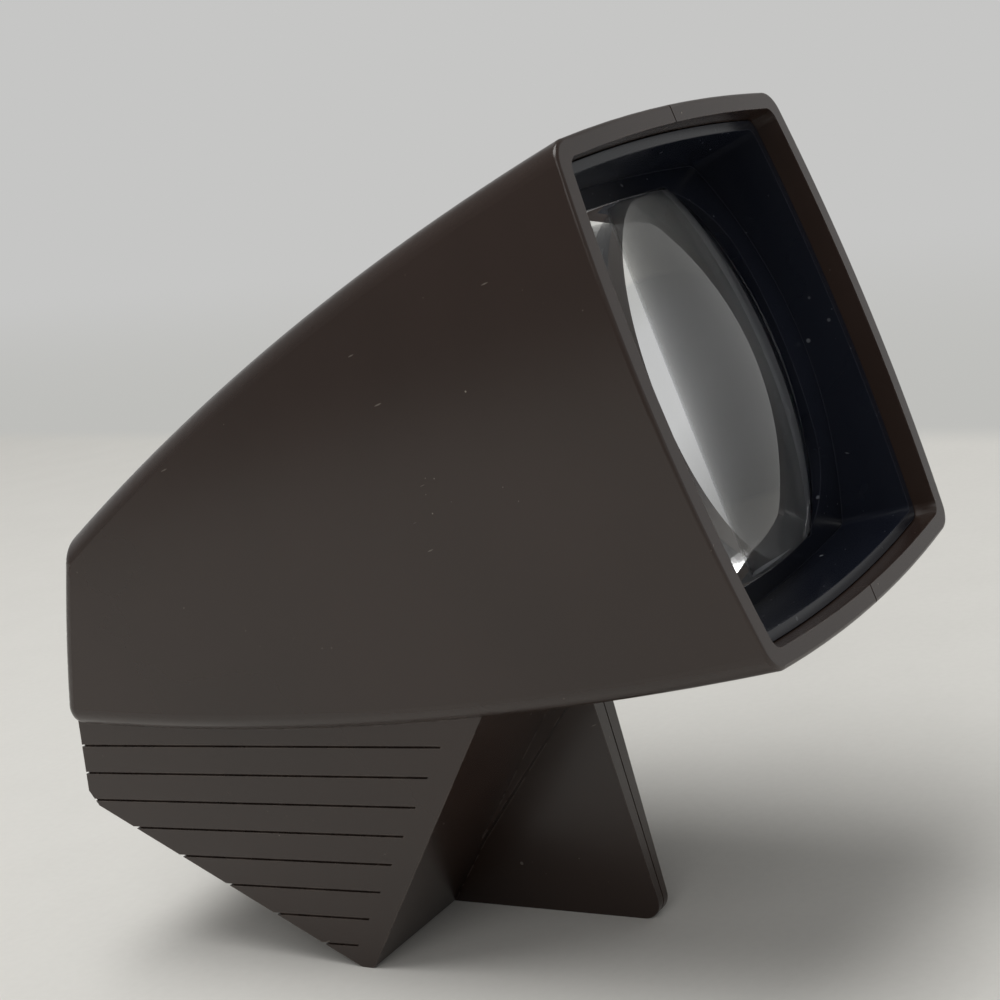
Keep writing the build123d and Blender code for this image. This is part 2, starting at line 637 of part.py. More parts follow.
with BuildPart() as viewing_tunnel:
    add(body_form(holder_inset))
    add(slab(TUNNEL_REAR_STATION, HOLDER_REAR_STATION - FIT), mode=Mode.INTERSECT)
    add(body_form(holder_inset + TUNNEL_WALL), mode=Mode.SUBTRACT)
    with BuildSketch(optic_plane.offset(TUNNEL_REAR_STATION)):
        with Locations((0, TUNNEL_FOOT - BODY_WIDTH / 2)):
            Rectangle(BODY_WIDTH * 2, BODY_WIDTH)
    extrude(amount=HOLDER_REAR_STATION, mode=Mode.SUBTRACT)
viewing_tunnel.part.label = "viewing_tunnel"
export_step(viewing_tunnel.part, "parts/viewing_tunnel.step")

# ---------------------------------------------------------------- slide gate
channel_half = SLIDE_SIZE / 2 + SLIDE_CLEARANCE
channel_rear = SLIDE_STATION - SLOT_GAP / 2
channel_front = SLIDE_STATION + SLOT_GAP / 2
gate_top = DIFFUSER_HEIGHT / 2 + GATE_MARGIN
gate_foot = SLIDE_REST - GATE_MARGIN

with BuildPart() as slide_gate:
    with BuildSketch(optic_plane.offset(channel_rear - GATE_PLATE)):
        with Locations((0, (gate_top + gate_foot) / 2)):
            Rectangle(BODY_WIDTH, gate_top - gate_foot)
    extrude(amount=SLOT_GAP + 2 * GATE_PLATE)
    add(body_form(WALL + FIT), mode=Mode.INTERSECT)
    with BuildSketch(optic_plane.offset(channel_rear)):
        Rectangle(channel_half * 2, BODY_WIDTH * 2)
    extrude(amount=SLOT_GAP, mode=Mode.SUBTRACT)
    with BuildSketch(optic_plane.offset(channel_rear - GATE_PLATE)):
        Rectangle((channel_half - GATE_LIP) * 2, BODY_WIDTH * 2)
    extrude(amount=GATE_PLATE, mode=Mode.SUBTRACT)
    with BuildSketch(optic_plane.offset(channel_front)):
        with Locations((0, WINDOW_CENTRE)):
            RectangleRounded(WINDOW_WIDTH, WINDOW_HEIGHT, WINDOW_CORNER)
        with Locations((0, SLIDE_REST)):
            Rectangle((LEVER_HALF_WIDTH + RUNNING) * 2, GATE_NOTCH * 2)
    extrude(amount=GATE_PLATE, mode=Mode.SUBTRACT)
slide_gate.part.label = "slide_gate"
export_step(slide_gate.part, "parts/slide_gate.step")

# ---------------------------------------------------------------- diffuser, reflector and lamp
diffuser_front = channel_rear - GATE_PLATE - FIT
diffuser_rear = diffuser_front - DIFFUSER_THICKNESS
with BuildPart() as diffuser:
    with BuildSketch(optic_plane.offset(diffuser_rear)):
        RectangleRounded(DIFFUSER_WIDTH, DIFFUSER_HEIGHT, WINDOW_CORNER)
    extrude(amount=DIFFUSER_THICKNESS)
diffuser.part.label = "diffuser"
export_step(diffuser.part, "parts/diffuser.step")


def funnel(shrink):
    """Square funnel from the lamp to the diffuser, its faces moved inwards by shrink."""
    with BuildPart() as form:
        with BuildSketch(optic_plane.offset(REFLECTOR_REAR_STATION)):
            RectangleRounded(
                REFLECTOR_REAR_SIZE - 2 * shrink,
                REFLECTOR_REAR_SIZE - 2 * shrink,
                REFLECTOR_CORNER,
            )
        with BuildSketch(optic_plane.offset(diffuser_rear)):
            RectangleRounded(
                DIFFUSER_WIDTH - 2 * shrink,
                DIFFUSER_HEIGHT - 2 * shrink,
                REFLECTOR_CORNER,
            )
        loft()
    return form.part


with BuildPart() as reflector:
    add(funnel(0))
    add(funnel(REFLECTOR_SHELL), mode=Mode.SUBTRACT)
reflector.part.label = "reflector"
export_step(reflector.part, "parts/reflector.step")

with BuildPart() as bulb_socket:
    with BuildSketch(optic_plane.offset(SOCKET_REAR_STATION)):
        Circle(SOCKET_RADIUS)
    extrude(amount=SOCKET_LENGTH)
    with BuildSketch(optic_plane.offset(SOCKET_REAR_STATION + SOCKET_FLOOR)):
        Circle(LAMP_CAP_RADIUS + LAMP_SOCKET_FIT)
    extrude(amount=SOCKET_LENGTH, mode=Mode.SUBTRACT)
bulb_socket.part.label = "bulb_socket"
export_step(bulb_socket.part, "parts/bulb_socket.step")

cap_rear = SOCKET_REAR_STATION + SOCKET_FLOOR + LAMP_TIP_LENGTH
cap_front = cap_rear + LAMP_CAP_LENGTH
with BuildPart() as bulb_cap:
    with BuildSketch(optic_plane.offset(cap_rear)):
        Circle(LAMP_CAP_RADIUS)
    extrude(amount=LAMP_CAP_LENGTH)
    for thread in range(1, LAMP_THREADS + 1):
        with BuildSketch(optic_plane.offset(cap_rear + thread * LAMP_THREAD_PITCH)):
            Circle(LAMP_CAP_RADIUS)
            Circle(LAMP_CAP_RADIUS - LAMP_THREAD_DEPTH, mode=Mode.SUBTRACT)
        extrude(amount=LAMP_THREAD_PITCH * 0.4, mode=Mode.SUBTRACT)
    with BuildSketch(optic_plane.offset(cap_rear)):
        Circle(LAMP_TIP_RADIUS)
    extrude(amount=-LAMP_TIP_LENGTH)
bulb_cap.part.label = "bulb_cap"
export_step(bulb_cap.part, "parts/bulb_cap.step")

glass_middle = cap_front + LAMP_NECK_LENGTH + LAMP_GLASS_RADIUS
with BuildPart() as bulb_glass:
    with BuildSketch(optic_plane.offset(cap_front)):
        Circle(LAMP_NECK_RADIUS)
    extrude(amount=glass_middle - cap_front)
    with Locations(on_axis(glass_middle)):
        Sphere(LAMP_GLASS_RADIUS)
bulb_glass.part.label = "bulb_glass"
export_step(bulb_glass.part, "parts/bulb_glass.step")

# ---------------------------------------------------------------- cells and their contacts
contact_inset = GRIP_REAR_STEP + WALL + FIT
rear_contact_face = rear_at(CELL_HEIGHT, contact_inset + CONTACT_THICKNESS)
cell_across = CELL_RADIUS + CELL_GAP / 2


def cell_form(across, tip, points_forward):
    """One AA cell lying lengthwise, its button at the tip."""
    button_way = 1 if points_forward else -1
    shoulder = tip - button_way * CELL_BUTTON_LENGTH
    cross_plane = Plane(origin=(across, -shoulder, CELL_HEIGHT), x_dir=(1, 0, 0), z_dir=(0, -1, 0))
    with BuildPart() as form:
        with BuildSketch(cross_plane):
            Circle(CELL_RADIUS)
        extrude(amount=-button_way * CELL_LENGTH)
        chamfer(form.edges().filter_by(GeomType.CIRCLE), length=CELL_CHAMFER)
        with BuildSketch(cross_plane):
            Circle(CELL_BUTTON_RADIUS)
        extrude(amount=button_way * CELL_BUTTON_LENGTH)
    return form.part


def contact_spring(across, start, end):
    """Small coil between a contact plate and a cell's flat end."""
    turns_height = end - start - 2 * CELL_SPRING_WIRE
    spring_place = Plane(
        origin=(across, -(start + CELL_SPRING_WIRE), CELL_HEIGHT),
        x_dir=(1, 0, 0),
        z_dir=(0, -1, 0),
    )
    coil = Helix(
        pitch=turns_height / CELL_SPRING_TURNS,
        height=turns_height,
        radius=CELL_SPRING_RADIUS,
    )
    coil = spring_place.location * coil
    with BuildPart() as form:
        with BuildLine():
            add(coil)
        with BuildSketch(Plane(origin=coil @ 0, z_dir=coil % 0)):
            Circle(CELL_SPRING_WIRE)
        sweep()
    return form.part


right_tip = CELL_FRONT - CONTACT_TOUCH
left_tip = rear_contact_face + CELL_BUTTON_RADIUS * abs(REAR_LEAN) + CONTACT_TOUCH
right_flat = right_tip - CELL_BUTTON_LENGTH - CELL_LENGTH
spring_foot = rear_contact_face + (CELL_SPRING_RADIUS + CELL_SPRING_WIRE) * abs(REAR_LEAN)
left_flat = left_tip + CELL_BUTTON_LENGTH + CELL_LENGTH

with BuildPart() as battery_cell_right:
    add(cell_form(cell_across, right_tip, True))
battery_cell_right.part.label = "battery_cell_right"
export_step(battery_cell_right.part, "parts/battery_cell_right.step")

with BuildPart() as battery_cell_left:
    add(cell_form(-cell_across, left_tip, False))
battery_cell_left.part.label = "battery_cell_left"
export_step(battery_cell_left.part, "parts/battery_cell_left.step")

with BuildPart() as rear_spring:
    add(contact_spring(cell_across, spring_foot, right_flat - CONTACT_TOUCH))
rear_spring.part.label = "rear_cell_spring"
export_step(rear_spring.part, "parts/rear_cell_spring.step")

with BuildPart() as front_spring:
    add(contact_spring(-cell_across, left_flat + CONTACT_TOUCH, CELL_FRONT - CONTACT_TOUCH))
front_spring.part.label = "front_cell_spring"
export_step(front_spring.part, "parts/front_cell_spring.step")

rear_contact_plane = rear_plane.offset(-contact_inset - CONTACT_THICKNESS)
rear_contact_drop = (rear_foot.Z - CELL_HEIGHT) * hypot(1, REAR_LEAN)
with BuildPart() as rear_contact:
    with BuildSketch(rear_contact_plane):
        with Locations((0, rear_contact_drop)):
            Rectangle(2 * cell_across + CONTACT_WIDTH, REAR_CONTACT_HEIGHT)
    extrude(amount=CONTACT_THICKNESS)
rear_contact.part.label = "rear_contact"
export_step(rear_contact.part, "parts/rear_contact.step")

front_contact_plane = Plane(
    origin=(0, -CELL_FRONT, (CONTACT_LOW + CONTACT_HIGH) / 2),
    x_dir=(1, 0, 0),
    z_dir=(0, -1, 0),
)
with BuildPart() as front_contact_left:
    with BuildSketch(front_contact_plane):
        with Locations((-cell_across, 0)):
            Rectangle(CONTACT_WIDTH, CONTACT_HIGH - CONTACT_LOW)
    extrude(amount=CONTACT_THICKNESS)
front_contact_left.part.label = "front_contact_left"
export_step(front_contact_left.part, "parts/front_contact_left.step")

with BuildPart() as front_contact_right:
    with BuildSketch(front_contact_plane):
        with Locations((cell_across, 0)):
            Rectangle(CONTACT_WIDTH, CONTACT_HIGH - CONTACT_LOW)
    extrude(amount=CONTACT_THICKNESS)
    with BuildSketch(Plane.XY.offset(CONTACT_HIGH - CONTACT_THICKNESS)):
        with Locations((cell_across, -CELL_FRONT - CONTACT_TAB / 2)):
            Rectangle(CONTACT_WIDTH, CONTACT_TAB)
    extrude(amount=CONTACT_THICKNESS)
front_contact_right.part.label = "front_contact_right"
export_step(front_contact_right.part, "parts/front_contact_right.step")

# ---------------------------------------------------------------- lamp lever under the slide
lever_top = SLIDE_REST - LEVER_DROP
strip_middle = lever_top - LEVER_THICKNESS - LEVER_STRIP / 2

with BuildPart() as lamp_lever:
    with BuildSketch(optic_plane.offset(LEVER_REAR_STATION)):
        with Locations((0, lever_top - LEVER_THICKNESS / 2)):
            Rectangle(LEVER_HALF_WIDTH * 2, LEVER_THICKNESS)
    extrude(amount=LEVER_FRONT_STATION - LEVER_REAR_STATION)
    with BuildSketch(pin_plane.offset(-LEVER_HALF_WIDTH)):
        Circle(LEVER_HUB_RADIUS)
    extrude(amount=LEVER_HALF_WIDTH * 2)
    with BuildSketch(pin_plane.offset(-LEVER_HUB_GAP)):
        Circle(LEVER_HUB_RADIUS + CONTACT_TOUCH)
    extrude(amount=LEVER_HUB_GAP * 2, mode=Mode.SUBTRACT)
    with BuildSketch(pin_plane.offset(-LEVER_HALF_WIDTH)):
        Circle(LEVER_PIN_RADIUS + PIN_FIT)
    extrude(amount=LEVER_HALF_WIDTH * 2, mode=Mode.SUBTRACT)
lamp_lever.part.label = "lamp_lever"
export_step(lamp_lever.part, "parts/lamp_lever.step")

with BuildPart() as lever_pin:
    with BuildSketch(pin_plane.offset(-ear_inner - EAR_THICKNESS)):
        Circle(LEVER_PIN_RADIUS)
    extrude(amount=2 * (ear_inner + EAR_THICKNESS))
lever_pin.part.label = "lever_pin"
export_step(lever_pin.part, "parts/lever_pin.step")

spring_length = LEVER_SPRING_TURNS * (2 * LEVER_SPRING_WIRE + LEVER_SPRING_GAP)
lever_coil = Helix(
    pitch=spring_length / LEVER_SPRING_TURNS,
    height=spring_length,
    radius=LEVER_SPRING_RADIUS,
)
lever_coil = pin_plane.offset(-spring_length / 2).location * lever_coil
with BuildPart() as lever_spring:
    with BuildLine():
        add(lever_coil)
    with BuildSketch(Plane(origin=lever_coil @ 0, z_dir=lever_coil % 0)):
        Circle(LEVER_SPRING_WIRE)
    sweep()
lever_spring.part.label = "lever_spring"
export_step(lever_spring.part, "parts/lever_spring.step")

with BuildPart() as lever_contact:
    with BuildSketch(optic_plane.offset(LEVER_REAR_STATION + LEVER_STRIP_START)):
        with Locations((cell_across, strip_middle)):
            Rectangle(LEVER_STRIP_WIDTH, LEVER_STRIP)
    extrude(amount=LEVER_STRIP_LENGTH)
    dimple_station = LEVER_REAR_STATION + LEVER_DIMPLE_PLACE
    dimple_place = on_axis(dimple_station, strip_middle - LEVER_STRIP / 2, cell_across)
    with BuildSketch(Plane(origin=dimple_place, x_dir=(1, 0, 0), z_dir=optic_plane.y_dir)):
        Circle(LEVER_DIMPLE_RADIUS)
    extrude(amount=-LEVER_DIMPLE)
lever_contact.part.label = "lever_contact"
export_step(lever_contact.part, "parts/lever_contact.step")


# ---------------------------------------------------------------- leads
def lead_form(route, bends):
    """Round insulated lead along a route of (across, forward, up) points."""
    points = [(across, -forward, up) for across, forward, up in route]
    with BuildPart() as form:
        with BuildLine() as path:
            FilletPolyline(*points, radius=bends)
        with BuildSketch(Plane(origin=path.line @ 0, z_dir=path.line % 0)):
            Circle(WIRE_RADIUS)
        sweep()
    return form.part


socket_side = on_axis(SOCKET_REAR_STATION + SOCKET_LENGTH / 2)
socket_reach = SOCKET_RADIUS + LAMP_SOCKET_FIT
ear_outer = ear_inner + EAR_THICKNESS + 2 * WIRE_RADIUS
with BuildPart() as lamp_lead_left:
    add(
        lead_form(
            [
                (-socket_reach, -socket_side.Y, socket_side.Z),
                (-LEAD_ACROSS, -socket_side.Y, socket_side.Z),
                (-LEAD_ACROSS, LEAD_TURN[0], LEAD_TURN[1]),
                (-LEAD_ACROSS, CELL_FRONT + 2.0, CELL_HEIGHT + 2.5),
                (-cell_across - 2.0, CELL_FRONT + 1.4, CELL_HEIGHT + 1.0),
            ],
            LEAD_BEND,
        )
    )
lamp_lead_left.part.label = "lamp_lead_left"
export_step(lamp_lead_left.part, "parts/lamp_lead_left.step")

with BuildPart() as lamp_lead_right:
    add(
        lead_form(
            [
                (socket_reach, -socket_side.Y, socket_side.Z),
                (LEAD_ACROSS, -socket_side.Y, socket_side.Z),
                (LEAD_ACROSS, LEAD_TURN[0], LEAD_TURN[1]),
                (ear_outer, 0.0, CELL_HEIGHT + 5.5),
                (ear_outer, LEVER_PIN_PLACE[0], LEVER_PIN_PLACE[1] - 0.4),
            ],
            LEAD_BEND,
        )
    )
lamp_lead_right.part.label = "lamp_lead_right"
export_step(lamp_lead_right.part, "parts/lamp_lead_right.step")
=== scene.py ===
# %% [markdown]
# A battery-lit slide viewer: a tapered hood of dark brown styrene with a thick squared lens in its mouth,
# standing on the narrow foot of its battery grip and on a thin centre fin. The CAD frame already has every
# part at its true size, so this lesson is about looks: the moulded skin with its gloss, dust and fine
# scratches, the blue-black liner, the clear lens, and the small metal parts inside.
# Blender works in metres here, Z is up and the lens looks towards -Y.

# %% Open the frame
import math

import bmesh
import bpy
from mathutils import Matrix, Vector


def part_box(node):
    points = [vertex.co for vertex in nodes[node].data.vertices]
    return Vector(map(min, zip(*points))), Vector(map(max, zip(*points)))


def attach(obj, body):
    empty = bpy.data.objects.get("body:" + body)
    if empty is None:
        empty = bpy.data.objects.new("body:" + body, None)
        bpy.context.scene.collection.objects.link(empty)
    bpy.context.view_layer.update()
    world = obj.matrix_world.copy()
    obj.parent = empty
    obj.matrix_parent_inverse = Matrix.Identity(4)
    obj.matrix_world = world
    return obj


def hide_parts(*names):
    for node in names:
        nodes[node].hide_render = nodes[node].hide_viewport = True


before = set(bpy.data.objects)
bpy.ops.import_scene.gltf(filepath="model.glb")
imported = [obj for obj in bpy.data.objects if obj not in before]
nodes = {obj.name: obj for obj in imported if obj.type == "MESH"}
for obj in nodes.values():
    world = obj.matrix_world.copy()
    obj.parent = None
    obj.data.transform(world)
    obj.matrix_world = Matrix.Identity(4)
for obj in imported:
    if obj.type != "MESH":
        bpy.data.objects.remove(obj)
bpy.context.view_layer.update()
MM = 0.001
print("CAD parts:", len(nodes))

# %% [markdown]
# The lens and everything behind it line up on the optical axis, which looks up by 16.5 degrees. A matrix
# whose columns are the axis's own directions carries a piece from an upright workbench, where it is easy to
# shape, into its slanted place. It saves reading slanted numbers, and the lens below is placed by it.

# %% Optical axis
AXIS_TILT = math.radians(16.5)
AXIS_HEIGHT = 60.3
ALONG = Vector((0, -math.cos(AXIS_TILT), math.sin(AXIS_TILT)))
ABOVE = Vector((0, math.sin(AXIS_TILT), math.cos(AXIS_TILT)))
ACROSS = Vector((1, 0, 0))
AXIS_FOOT = ABOVE * AXIS_HEIGHT * MM

axis_matrix = Matrix((
    (ACROSS.x, ABOVE.x, ALONG.x, AXIS_FOOT.x),
    (ACROSS.y, ABOVE.y, ALONG.y, AXIS_FOOT.y),
    (ACROSS.z, ABOVE.z, ALONG.z, AXIS_FOOT.z),
    (0, 0, 0, 1),
))
print("optical axis rises by", round(math.degrees(AXIS_TILT), 1), "degrees")

# %% [markdown]
# Materials are written as short Python expressions. `Value` wraps one socket that carries a number, and its
# operators add Math nodes, so `1 - mask * 0.5` reads like arithmetic. Any other node comes from `node`,
# which sets the node's own settings first and then its inputs. Patterns read Object coordinates: each part
# sits at the origin with its place in its mesh, so a pattern stays put on the part.


# %% Shader helpers
class Value:
    """A number socket of a material, with arithmetic."""

    def __init__(self, finish, socket):
        self.finish, self.socket = finish, socket

    def math(self, operation, *others):
        values = dict(enumerate((self,) + others))
        return Value(self.finish, self.finish.node(
            "ShaderNodeMath", {"operation": operation}, values).outputs[0])

    def __add__(self, other): return self.math("ADD", other)
    def __radd__(self, other): return self.math("ADD", other)
    def __sub__(self, other): return self.math("SUBTRACT", other)
    def __rsub__(self, other): return (self * -1) + other
    def __mul__(self, other): return self.math("MULTIPLY", other)
    def __rmul__(self, other): return self.math("MULTIPLY", other)

    def step(self, low, high):
        """0 under low and 1 over high, with a soft passage between them."""
        return Value(self.finish, self.finish.node(
            "ShaderNodeMapRange", {"interpolation_type": "SMOOTHSTEP"},
            {0: self, 1: low, 2: high, 3: 0.0, 4: 1.0}).outputs[0])


class Finish:
    """One material under construction."""

    def __init__(self, name):
        self.material = bpy.data.materials.new(name)
        self.material.use_nodes = True
        self.tree = self.material.node_tree
        self.shader = self.tree.nodes["Principled BSDF"]
        self.place = self.node("ShaderNodeTexCoord").outputs["Object"]

    def node(self, kind, settings=None, values=None):
        """Adds any node: its own settings first, then the values or links of its sockets."""
        made = self.tree.nodes.new(kind)
        for key, setting in (settings or {}).items():
            setattr(made, key, setting)
        for key, value in (values or {}).items():
            self.feed(made.inputs[key], value)
        return made

    def feed(self, socket, value):
        """Links a socket or a Value, or sets a plain value."""
        if isinstance(value, Value):
            value = value.socket
        if isinstance(value, bpy.types.NodeSocket):
            self.tree.links.new(value, socket)
        else:
            socket.default_value = value

    def set(self, **values):
        """Sets the shader's sockets; an underscore in a name stands for a space."""
        for key, value in values.items():
            self.feed(self.shader.inputs[key.replace("_", " ")], value)
        return self

    def scaled(self, size, turn):
        """Object coordinates in metres after a turn, each multiplied by its own share of the size."""
        turned = self.node("ShaderNodeMapping", {}, {0: self.place, 2: turn}).outputs[0]
        return self.node("ShaderNodeMapping", {}, {0: turned, 3: size}).outputs[0]

    def axis(self, name):
        """One Object coordinate, in metres."""
        return Value(self, self.node("ShaderNodeSeparateXYZ", {}, {0: self.place}).outputs[name])

    def noise(self, scale, detail=2.0, place=None):
        """Soft cloud from 0 to 1; a larger scale makes smaller clouds."""
        return Value(self, self.node("ShaderNodeTexNoise", {}, {
            "Vector": place or self.place, "Scale": scale, "Detail": detail}).outputs[0])

    def mix(self, factor, first, second):
        """The first colour where the factor is 0, the second where it is 1."""
        made = self.node("ShaderNodeMix", {"data_type": "RGBA"})
        self.feed(made.inputs[0], factor)
        self.feed(made.inputs[6], first)
        self.feed(made.inputs[7], second)
        return made.outputs[2]

    def bump(self, height, strength, distance):
        """Normal for a height pattern; the distance is in millimetres."""
        return self.node("ShaderNodeBump", {}, {
            "Height": height, "Strength": strength, "Distance": distance * MM}).outputs[0]


def srgb(red, green, blue):
    """Linear colour from 0 to 255 display values."""
    def linear(level):
        share = level / 255
        return share / 12.92 if share <= 0.04045 else ((share + 0.055) / 1.055) ** 2.4
    return (linear(red), linear(green), linear(blue), 1.0)


print("shader helpers ready")

# %% [markdown]
# The camera stands low in front of the viewer, to its left, and is rolled a little, so the hood climbs from
# lower left to upper right. A long lens keeps the taper of the body honest. The three directions below are
# the camera's own right, up and back in the frame.

# %% Camera
SENSOR_WIDTH, FOCAL_LENGTH = 36.0, 70.32
CAMERA_RIGHT = Vector((0.495267, -0.854461, -0.156866))
CAMERA_UP = Vector((0.260649, -0.026096, 0.965081))
CAMERA_BACK = Vector((-0.828717, -0.518860, 0.209790))
CAMERA_PLACE = Vector((-0.217715, -0.140699, 0.114465))

camera_data = bpy.data.cameras.new("camera")
camera_data.sensor_width = SENSOR_WIDTH
camera_data.lens = FOCAL_LENGTH
camera = bpy.data.objects.new("camera", camera_data)
bpy.context.scene.collection.objects.link(camera)
camera.matrix_world = Matrix((
    (CAMERA_RIGHT.x, CAMERA_UP.x, CAMERA_BACK.x, CAMERA_PLACE.x),
    (CAMERA_RIGHT.y, CAMERA_UP.y, CAMERA_BACK.y, CAMERA_PLACE.y),
    (CAMERA_RIGHT.z, CAMERA_UP.z, CAMERA_BACK.z, CAMERA_PLACE.z),
    (0, 0, 0, 1),
))
camera_data.clip_start = 0.01
camera_data.clip_end = 100.0
bpy.context.scene.camera = camera
print("camera", [round(v, 3) for v in camera.matrix_world.translation])

# %% [markdown]
# The viewer stands on a plain pale table with a plain wall behind it. A real wall would get in the way of
# a look from the other side, so there is only one large flat floor: beyond a straight line behind the
# viewer it turns softly into the wall's grey, which glows by itself so that it needs no lamp. The table is
# matt, so it shows no mirror image.

# %% Floor and wall tone
WALL_START, WALL_END = Vector((0.369, 0.468, 0)), Vector((0.287, 0.016, 0))
WALL_SOFT_LOW, WALL_SOFT_HIGH = -0.012, 0.016
WALL_FADE = 0.5
WALL_GREY = srgb(198, 198, 197)
WALL_FOOT_GREY = srgb(190, 190, 187)
TABLE_PALE, TABLE_PALER = srgb(222, 221, 217), srgb(232, 231, 227)
BLACK = (0, 0, 0, 1)
FLOOR_SIZE = 12.0

table_mesh = bmesh.new()
bmesh.ops.create_grid(table_mesh, x_segments=1, y_segments=1, size=FLOOR_SIZE)
floor_data = bpy.data.meshes.new("floor")
table_mesh.to_mesh(floor_data)
table_mesh.free()
floor = bpy.data.objects.new("floor", floor_data)
bpy.context.scene.collection.objects.link(floor)

wall_way = (WALL_END - WALL_START).normalized()
wall_out = Vector((-wall_way.y, wall_way.x, 0))
floor_finish = Finish("table_top")
past = floor_finish.axis("X") * wall_out.x + floor_finish.axis("Y") * wall_out.y
past = past - wall_out.dot(WALL_START)
wall_share = past.step(WALL_SOFT_LOW, WALL_SOFT_HIGH)
speckle = floor_finish.noise(60.0, 3.0) * 0.5 + floor_finish.noise(700.0, 2.0) * 0.5
table_tone = floor_finish.mix(speckle, TABLE_PALE, TABLE_PALER)
wall_tone = floor_finish.mix(past.step(0.0, WALL_FADE), WALL_FOOT_GREY, WALL_GREY)
floor_finish.set(
    Base_Color=floor_finish.mix(wall_share, table_tone, BLACK),
    Emission_Color=floor_finish.mix(wall_share, BLACK, wall_tone),
    Emission_Strength=1.0,
    Roughness=0.8,
    Specular_IOR_Level=0.0,
)
floor_data.materials.append(floor_finish.material)

print("floor side", FLOOR_SIZE * 2, "m")

# %% [markdown]
# The world lights the viewer from all round, and its tones are what the glossy skin reflects. It has the
# wall's grey at the horizon, a darker ceiling, and a darker room towards -X, on the viewer's left. Two soft
# blends make it: one by how high a direction points, one by how far it points to -X.


# %% World
def blend_sky(direction, low, high, first, second):
    """The first colour up to the low mark of a direction's share, the second from the high mark on."""
    ramp = sky.nodes.new("ShaderNodeMapRange")
    mix = sky.nodes.new("ShaderNodeMix")
    mix.data_type = "RGBA"
    sky.links.new(direction, ramp.inputs[0])
    ramp.inputs[1].default_value = low
    ramp.inputs[2].default_value = high
    sky.links.new(ramp.outputs[0], mix.inputs[0])
    if isinstance(first, bpy.types.NodeSocket):
        sky.links.new(first, mix.inputs[6])
    else:
        mix.inputs[6].default_value = first
    mix.inputs[7].default_value = second
    return mix.outputs[2]


CEILING_GREY = srgb(134, 134, 133)
ROOM_GREY = srgb(128, 127, 126)
CEILING_LOW, CEILING_HIGH = 0.2, 0.6
ROOM_NEAR, ROOM_FAR = -0.1, -0.7

world = bpy.data.worlds.new("studio")
bpy.context.scene.world = world
world.use_nodes = True
sky = world.node_tree
sky_place = sky.nodes.new("ShaderNodeTexCoord")
sky_way = sky.nodes.new("ShaderNodeSeparateXYZ")
sky.links.new(sky_place.outputs["Generated"], sky_way.inputs[0])
ceiling = blend_sky(sky_way.outputs["Z"], CEILING_LOW, CEILING_HIGH, WALL_GREY, CEILING_GREY)
room = blend_sky(sky_way.outputs["X"], ROOM_NEAR, ROOM_FAR, ceiling, ROOM_GREY)
sky.links.new(room, sky.nodes["Background"].inputs["Color"])
print("world tones", len([node for node in sky.nodes if node.type == "MIX"]))

# %% [markdown]
# One large soft lamp hangs almost overhead, a little to the viewer's left and behind it, so that the shadow
# falls under the body and towards the right and the front. A wide lamp far off to the left and in front
# puts a faint sheen on the long side. Area lamps are used because only a large source gives soft shadow
# edges.


# %% Lamps
def soft_lamp(name, place, target, width, height, power):
    """Rectangular area lamp, in metres and watts, that faces its target."""
    data = bpy.data.lights.new(name, "AREA")
    data.shape = "RECTANGLE"
    data.size, data.size_y, data.energy, data.color = width, height, power, LAMP_TINT
    lamp = bpy.data.objects.new(name, data)
    bpy.context.scene.collection.objects.link(lamp)
    place, target = Vector(place), Vector(target)
    turn = (target - place).to_track_quat("-Z", "Y").to_matrix().to_4x4()
    lamp.matrix_world = Matrix.Translation(place) @ turn
    return lamp


LAMP_TINT = (1.0, 0.99, 0.97)
VIEWER_MIDDLE = (0.0, 0.0, 0.05)
window_lamp = soft_lamp(
    "window_lamp", (-0.20, 0.12, 1.20), VIEWER_MIDDLE, width=0.85, height=0.85, power=9.8)
side_lamp = soft_lamp(
    "side_lamp", (-1.5, -0.6, 1.3), VIEWER_MIDDLE, width=1.2, height=0.9, power=5.0)
bpy.context.scene.view_settings.view_transform = "Standard"
print("lamps", window_lamp.data.energy, side_lamp.data.energy)

# %% [markdown]
# The case, its grip and the battery door are one moulded styrene: dark warm brown, semi-gloss, with a skin
# that is never quite flat. Three scales make it real. A slow swell of the surface bends long reflections,
# a fine grain breaks the gloss, and sparse lint, dots and hair scratches sit on top, mostly on the flat
# sides. Edges are painted a little lighter, partly as rubbing and partly as a painted highlight; the Bevel
# node finds them, even on a mesh of loose triangles, by comparing a rounded normal with the true one.


# %% Moulded brown
KEEP_SOFTNESS = 0.02
HAIR_STRETCH = 0.06
HAIR_BEND, HAIR_BEND_SCALE = 0.5, 90.0


def specks(finish, scale, size, seed, keep):
    """Sparse round dots: a cell pattern where only a share of the cells keep their dot."""
    shifted = finish.node("ShaderNodeMapping", {}, {
        0: finish.place, 1: (seed, seed * 0.7, -seed)}).outputs[0]
    voronoi = finish.node("ShaderNodeTexVoronoi", {}, {"Vector": shifted, "Scale": scale})
    near = 1 - Value(finish, voronoi.outputs["Distance"]).step(size * 0.5, size)
    chance = Value(finish, finish.node(
        "ShaderNodeSeparateColor", {}, {0: voronoi.outputs["Color"]}).outputs[0])
    return near * chance.step(1 - keep, 1 - keep + KEEP_SOFTNESS)


